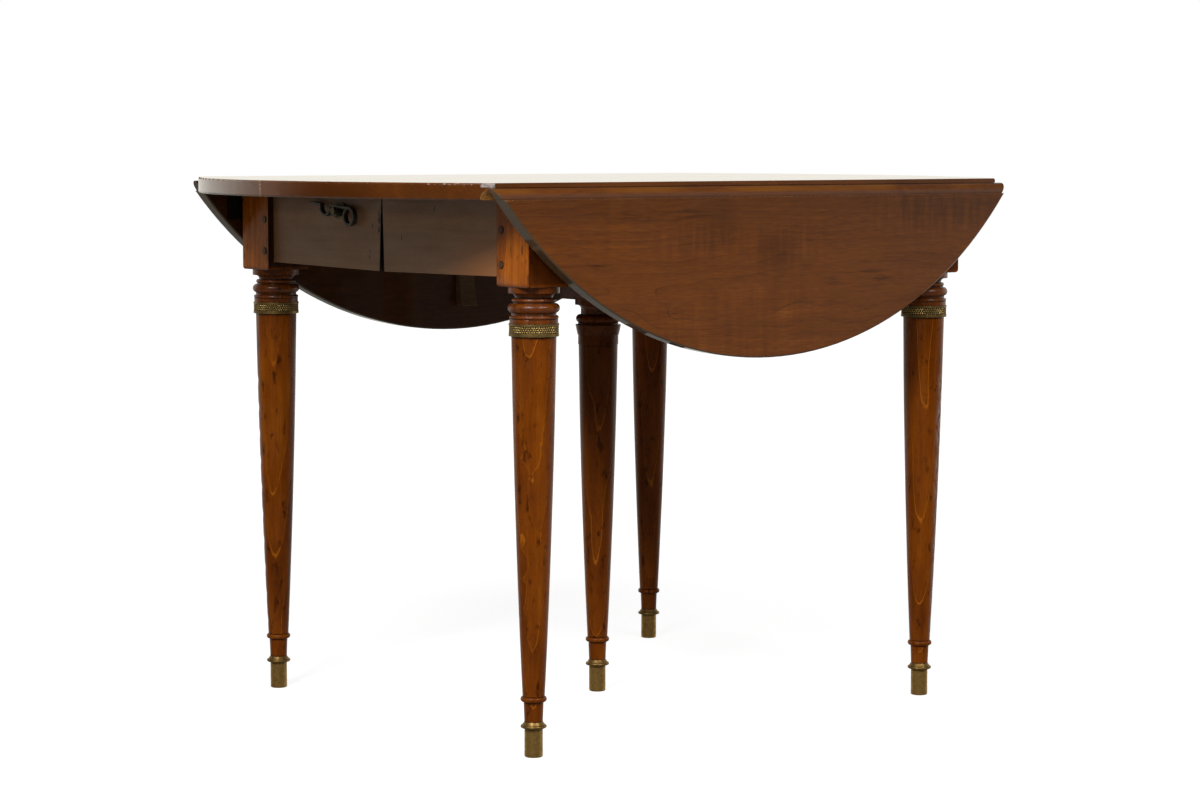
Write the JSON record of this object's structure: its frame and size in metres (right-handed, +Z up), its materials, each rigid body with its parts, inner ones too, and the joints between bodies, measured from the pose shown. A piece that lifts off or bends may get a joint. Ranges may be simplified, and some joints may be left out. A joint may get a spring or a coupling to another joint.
{
  "type": "drop leaf extending table",
  "caption": "Round wooden drop-leaf table on turned, brass-shod legs: half-round leaves fold up on rule joints, and the top and frame pull apart on dovetailed slides.",
  "frame": {"origin": "on the floor under the centre leg, at the middle of the table", "axes": "+Z up, +X along the leaf hinges, +Y across the table towards the back half"},
  "size_m": [1.116, 0.732, 0.731],
  "materials": {
    "top_wood": "polished",
    "leaf_wood": "polished",
    "leg_wood": "polished",
    "frame_wood": "satin",
    "peg_wood": "satin",
    "inner_wood": "unfinished",
    "brass": "aged",
    "iron": "forged"
  },
  "bodies": {
    "centre_frame": {"centre_leg": "leg_wood", "centre_sabot": "brass", "cross_beam": "inner_wood", "left_middle_runner": "inner_wood", "right_middle_runner": "inner_wood", "slide_stops": "inner_wood"},
    "back_half": {"back_hinge_pins": "iron", "back_hinge_top_plates": "iron", "back_inner_runner": "inner_wood", "back_left_apron": "frame_wood", "back_left_leg": "leg_wood", "back_left_sabot": "brass", "back_leg_bands": "brass", "back_lever_rose": "brass", "back_lever_screw": "iron", "back_long_rail": "frame_wood", "back_loper_guide": "inner_wood", "back_outer_runner": "inner_wood", "back_pegs": "peg_wood", "back_right_apron": "frame_wood", "back_right_leg": "leg_wood", "back_right_sabot": "brass", "back_runner_cleats": "inner_wood", "back_runner_stops": "inner_wood", "back_top": "top_wood", "back_top_hinge_screws": "iron"},
    "back_leaf": {"back_leaf": "leaf_wood", "back_leaf_wedge": "inner_wood", "back_hinge_leaf_plates": "iron", "back_leaf_hinge_screws": "iron"},
    "back_loper": {"back_loper": "inner_wood", "back_loper_stop_peg": "inner_wood"},
    "back_lever": {"back_finger_lever": "iron"},
    "front_half": {"front_hinge_pins": "iron", "front_hinge_top_plates": "iron", "front_inner_runner": "inner_wood", "front_left_apron": "frame_wood", "front_left_leg": "leg_wood", "front_left_sabot": "brass", "front_leg_bands": "brass", "front_lever_rose": "brass", "front_lever_screw": "iron", "front_long_rail": "frame_wood", "front_loper_guide": "inner_wood", "front_outer_runner": "inner_wood", "front_pegs": "peg_wood", "front_right_apron": "frame_wood", "front_right_leg": "leg_wood", "front_right_sabot": "brass", "front_runner_cleats": "inner_wood", "front_runner_stops": "inner_wood", "front_top": "top_wood", "front_top_hinge_screws": "iron"},
    "front_leaf": {"front_leaf": "leaf_wood", "front_leaf_wedge": "inner_wood", "front_hinge_leaf_plates": "iron", "front_leaf_hinge_screws": "iron"},
    "front_loper": {"front_loper": "inner_wood", "front_loper_stop_peg": "inner_wood"},
    "front_lever": {"front_finger_lever": "iron"}
  },
  "joints": [
    {"name": "back_extension", "type": "slide", "parent": "centre_frame", "child": "back_half", "axis": [0, 1, 0], "range_m": [0, 0.3]},
    {"name": "back_leaf_fold", "type": "hinge", "parent": "back_half", "child": "back_leaf", "pos_m": [0, 0.346, 0.711], "axis": [1, 0, 0], "range_deg": [0, 90]},
    {"name": "back_loper_slide", "type": "slide", "parent": "back_half", "child": "back_loper", "axis": [0, 1, 0], "range_m": [0, 0.0692]},
    {"name": "back_lever_turn", "type": "hinge", "parent": "back_half", "child": "back_lever", "pos_m": [-0.3785, 0.0985, 0.687], "axis": [1, 0, 0], "range_deg": [-25, 9]},
    {"name": "front_extension", "type": "slide", "parent": "centre_frame", "child": "front_half", "axis": [0, -1, 0], "range_m": [0, 0.3]},
    {"name": "front_leaf_fold", "type": "hinge", "parent": "front_half", "child": "front_leaf", "pos_m": [0, -0.346, 0.711], "axis": [-1, 0, 0], "range_deg": [0, 90]},
    {"name": "front_loper_slide", "type": "slide", "parent": "front_half", "child": "front_loper", "axis": [0, -1, 0], "range_m": [0, 0.0692]},
    {"name": "front_lever_turn", "type": "hinge", "parent": "front_half", "child": "front_lever", "pos_m": [0.3785, -0.0985, 0.687], "axis": [-1, 0, 0], "range_deg": [-25, 9]}
  ],
  "couplings": [
    {"joint": "back_loper_slide", "follows": "back_leaf_fold", "m_per_rad": 0.044},
    {"joint": "front_loper_slide", "follows": "front_leaf_fold", "m_per_rad": 0.044}
  ]
}
